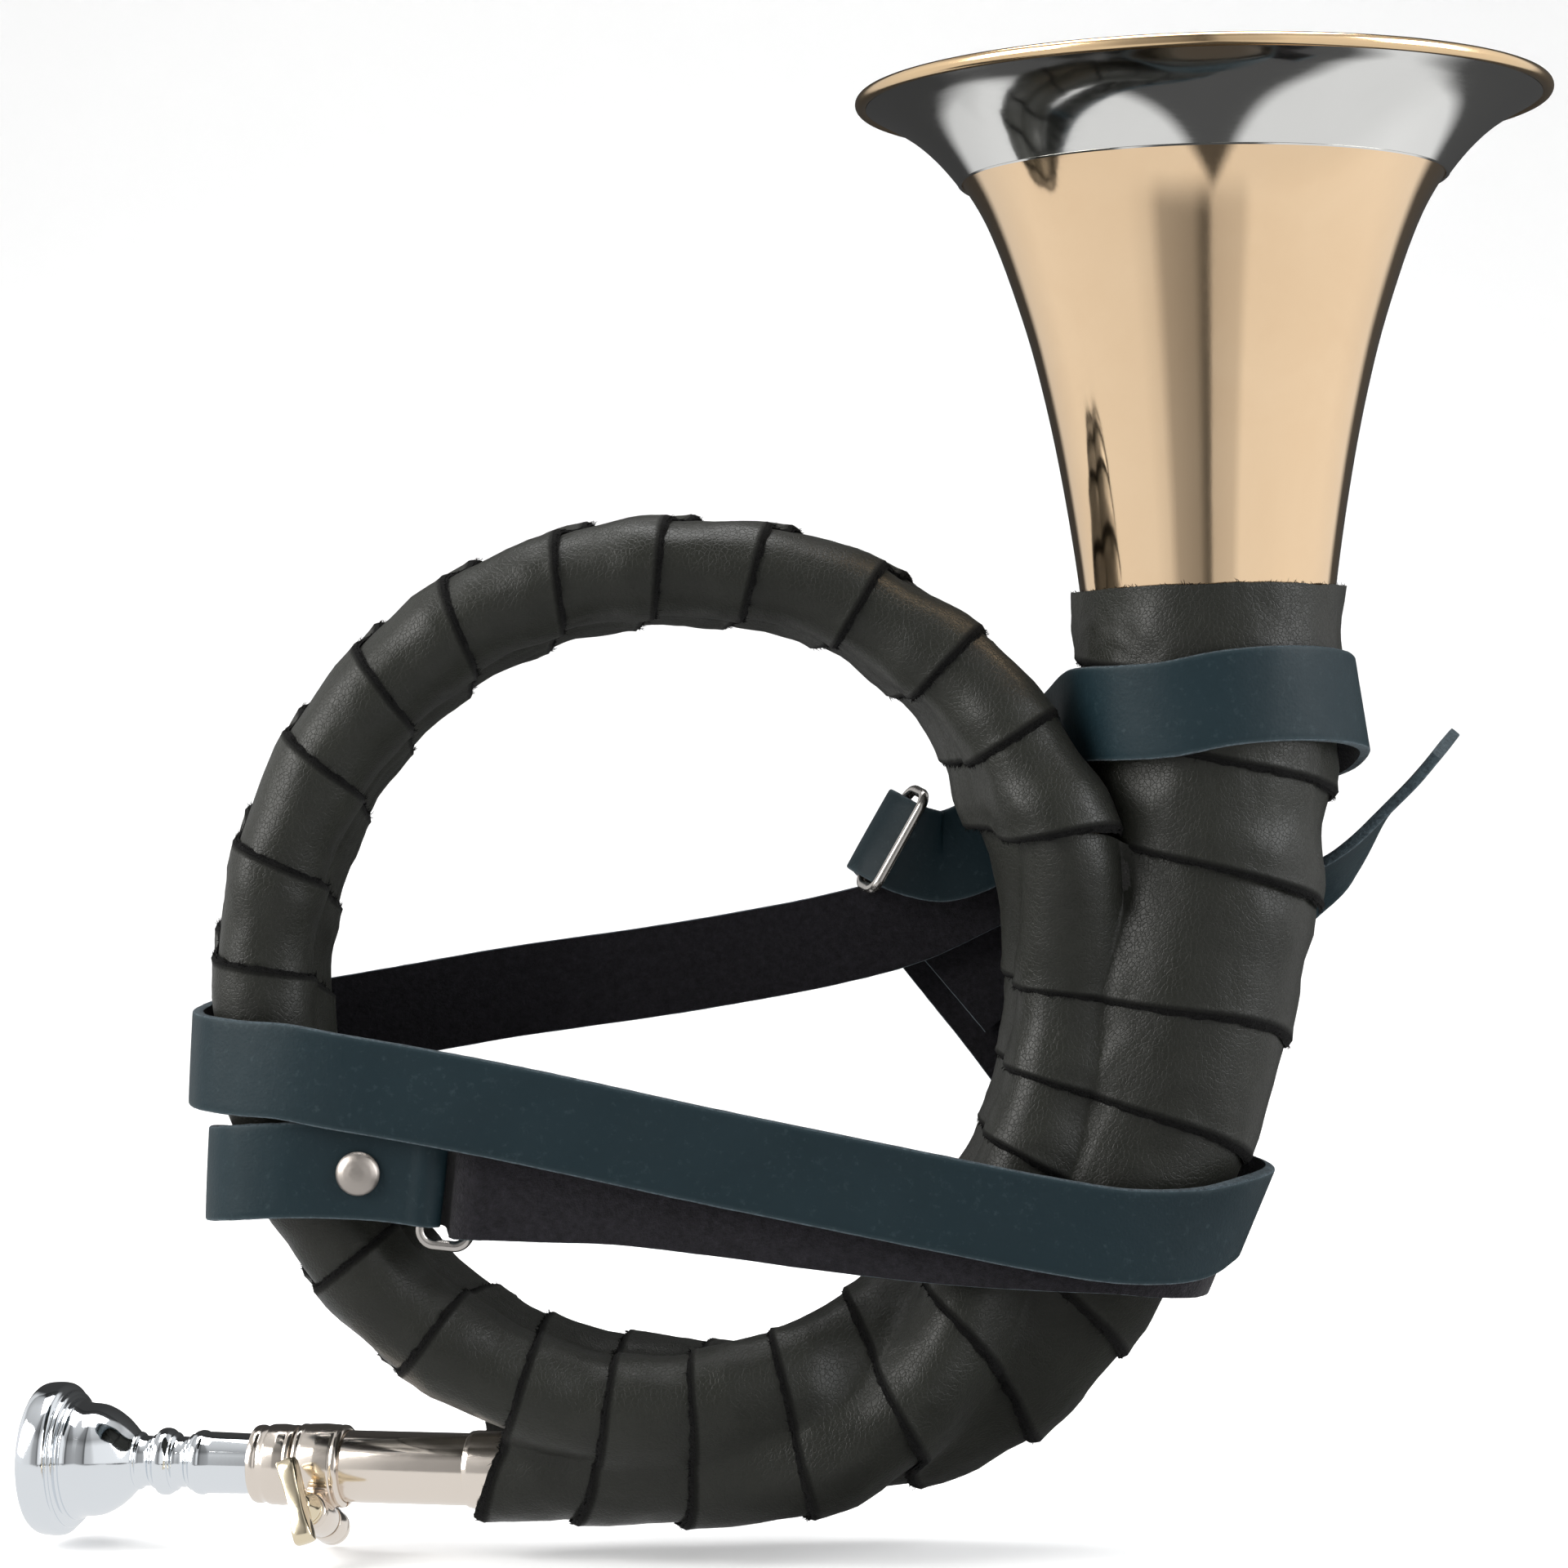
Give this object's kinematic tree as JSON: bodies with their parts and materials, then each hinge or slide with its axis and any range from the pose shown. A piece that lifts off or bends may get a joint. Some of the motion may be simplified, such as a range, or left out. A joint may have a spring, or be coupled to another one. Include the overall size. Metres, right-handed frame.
{
  "type": "valveless leather-wrapped hunting horn",
  "caption": "Coiled valveless natural horn with a leather-wrapped conical tube, flared bell, clamped tuning slide, cup mouthpiece and a buckled leather carrying strap.",
  "frame": {"origin": "middle of the whole horn's box at rest", "axes": "+Z along the bell axis out of the bell mouth, +X from the mouthpiece side towards the bell side, +Y through the coil's axis away from the side with the rivet"},
  "size_m": [0.2806, 0.1248, 0.2618],
  "materials": {
    "gold_brass": "polished",
    "yellow_brass": "polished",
    "nickel_silver": "polished",
    "mouthpiece_silver": "polished",
    "wrap_leather": "satin",
    "strap_leather": "satin",
    "buckle_steel": "satin"
  },
  "bodies": {
    "horn": {"outer_slide_tube": "nickel_silver", "coil_tube_first": "yellow_brass", "coil_tube_second": "yellow_brass", "bell_branch": "gold_brass", "lead_coupling": "nickel_silver", "bell_flare": "gold_brass", "bell_garland": "nickel_silver", "bell_rim": "yellow_brass", "bell_branch_ferrule": "nickel_silver", "leather_wrap_ring": "wrap_leather", "leather_wrap_lower": "wrap_leather", "leather_wrap_bell": "wrap_leather", "clamp_collar": "nickel_silver", "winding_brace_top": "yellow_brass", "winding_brace_left": "yellow_brass", "strap_lower": "strap_leather", "strap_long": "strap_leather", "rivet_cap": "buckle_steel"},
    "receiver": {"receiver_tube": "nickel_silver", "receiver_ferrule": "nickel_silver"},
    "mouthpiece": {"mouthpiece": "mouthpiece_silver"},
    "washer": {"thrust_washer": "yellow_brass"},
    "thumb_screw": {"thumb_screw": "yellow_brass"},
    "front_buckle": {"buckle_front_frame": "buckle_steel"},
    "rear_buckle": {"buckle_rear_frame": "buckle_steel"}
  },
  "joints": [
    {"name": "tuning_slide", "type": "slide", "parent": "horn", "child": "receiver", "axis": [-0.9744, 0.225, 0], "range_m": [0, 0.02]},
    {"name": "mouthpiece_pull", "type": "slide", "parent": "receiver", "child": "mouthpiece", "axis": [-0.9744, 0.225, 0], "range_m": [0, 0.024]},
    {"name": "thumb_screw_travel", "type": "slide", "parent": "horn", "child": "washer", "axis": [-0.2075, -0.8985, 0.3869], "range_m": [0, 0.0006]},
    {"name": "thumb_screw_turn", "type": "hinge", "parent": "washer", "child": "thumb_screw", "pos_m": [-0.08477, 0.00617, -0.12453], "axis": [-0.2075, -0.8985, 0.3869], "range_deg": [0, 360]},
    {"name": "front_buckle_swing", "type": "hinge", "parent": "horn", "child": "front_buckle", "pos_m": [-0.06239, -0.0203, -0.06116], "axis": [0.1203, 0, 0.9927], "range_deg": [0, 8]},
    {"name": "rear_buckle_swing", "type": "hinge", "parent": "horn", "child": "rear_buckle", "pos_m": [0.01972, 0.01797, -0.00209], "axis": [-0.5, 0, -0.866], "range_deg": [0, 25]}
  ],
  "couplings": [
    {"joint": "thumb_screw_turn", "follows": "thumb_screw_travel", "rad_per_m": 10471}
  ]
}
